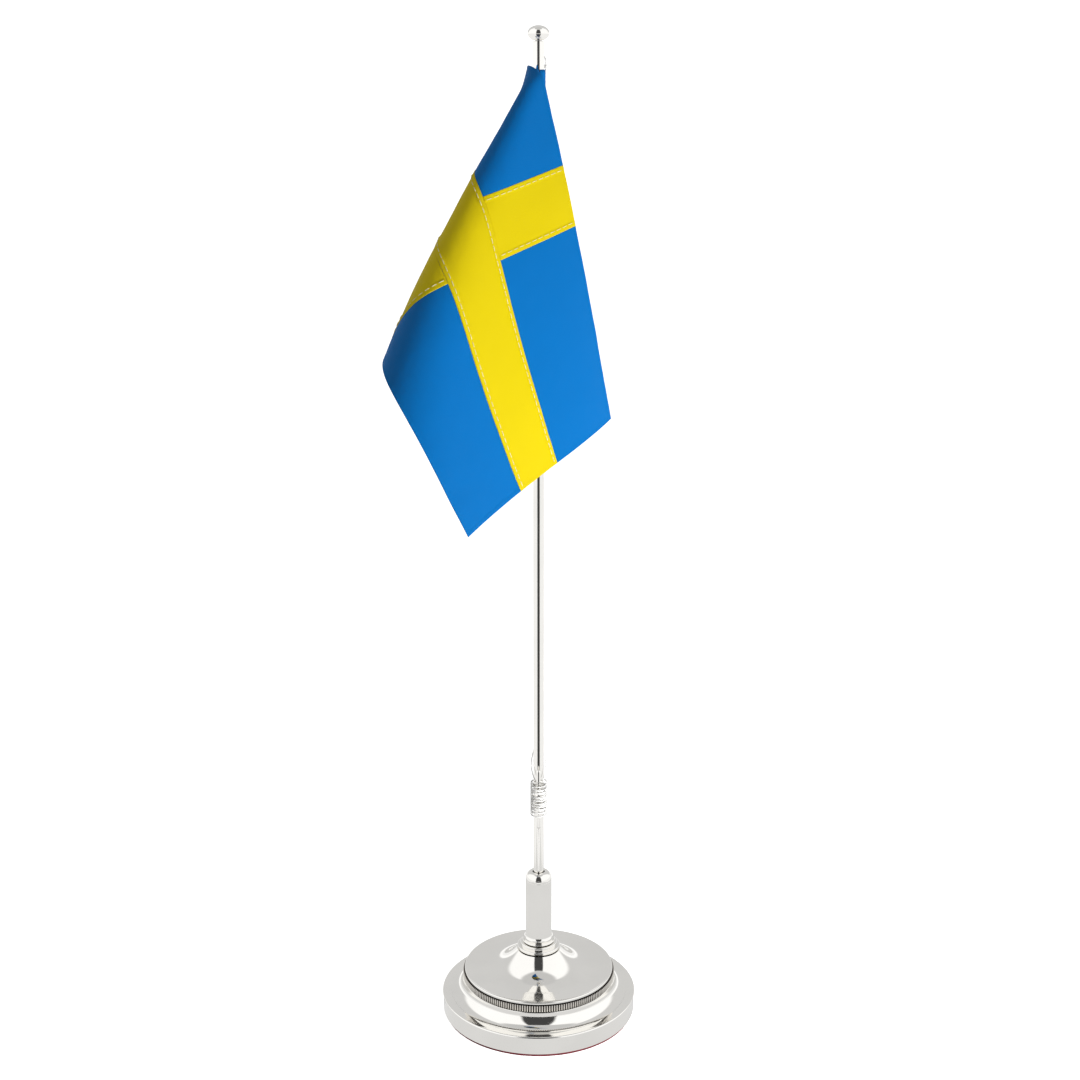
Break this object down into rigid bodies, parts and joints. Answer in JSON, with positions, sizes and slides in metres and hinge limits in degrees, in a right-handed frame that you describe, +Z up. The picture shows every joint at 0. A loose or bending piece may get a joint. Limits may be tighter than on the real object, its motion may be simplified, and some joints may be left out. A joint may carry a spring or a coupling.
{
  "type": "desk flag stand",
  "caption": "Table flagpole: stepped silver-plated base with a milled ring, slim mast with cleat and ball finial, and a small sewn cross flag hung from its hoist",
  "frame": {"origin": "centre of the underside of the felt pad, on the table", "axes": "+Z is up along the mast, -Y is the front, the side the cleat is on, and +X is to the right seen from the front"},
  "size_m": [0.1003, 0.1243, 0.4198],
  "materials": {
    "silver": "polished silver plate",
    "steel": "zinc plated, dull",
    "iron": "rough cast",
    "board": "hardboard",
    "nylon": "natural nylon",
    "felt": "dark red felt",
    "cord": "thin white braided cord",
    "blue_cloth": "blue woven cloth, slight sheen",
    "yellow_cloth": "yellow woven cloth, slight sheen"
  },
  "bodies": {
    "foot": {"felt_pad": "felt", "base_shell": "silver", "base_board": "board", "base_weight": "iron", "plate_spacer": "board", "milled_ring": "silver", "upper_plate": "silver", "boss": "steel", "collar_ring": "silver", "socket_tube": "silver", "tube_cap": "silver", "clamp_screw": "steel", "clamp_washer": "steel", "socket_plug": "steel"},
    "liner": {"socket_liner": "nylon"},
    "mast": {"mast": "silver", "mast_foot": "steel", "finial": "silver", "finial_stud": "steel", "cleat_bar": "silver", "cleat_rivet": "steel", "halyard_eye": "silver", "halyard": "cord", "cleat_winding": "cord"},
    "hoist": {"hoist_tape": "blue_cloth", "hoist_knot_top": "cord", "hoist_knot_bottom": "cord"},
    "flag": {"canton_hoist_upper": "blue_cloth", "canton_hoist_lower": "blue_cloth", "band_upper": "yellow_cloth", "band_lower": "yellow_cloth", "canton_fly_upper": "blue_cloth", "canton_fly_lower": "blue_cloth", "band_long": "yellow_cloth"}
  },
  "joints": [
    {"name": "mast_turn", "type": "hinge", "parent": "foot", "child": "liner", "pos_m": [0, 0, 0.0419], "axis": [0, 0, 1], "continuous": true},
    {"name": "mast_lift", "type": "slide", "parent": "liner", "child": "mast", "axis": [0, 0, 1], "range_m": [0, 0.022]},
    {"name": "flag_lower", "type": "slide", "parent": "mast", "child": "hoist", "axis": [0, 0, -1], "range_m": [0, 0.14]},
    {"name": "flag_swing", "type": "hinge", "parent": "hoist", "child": "flag", "pos_m": [0.00049, -0.00281, 0.4034], "axis": [0, 0, 1], "range_deg": [0, 90]}
  ]
}
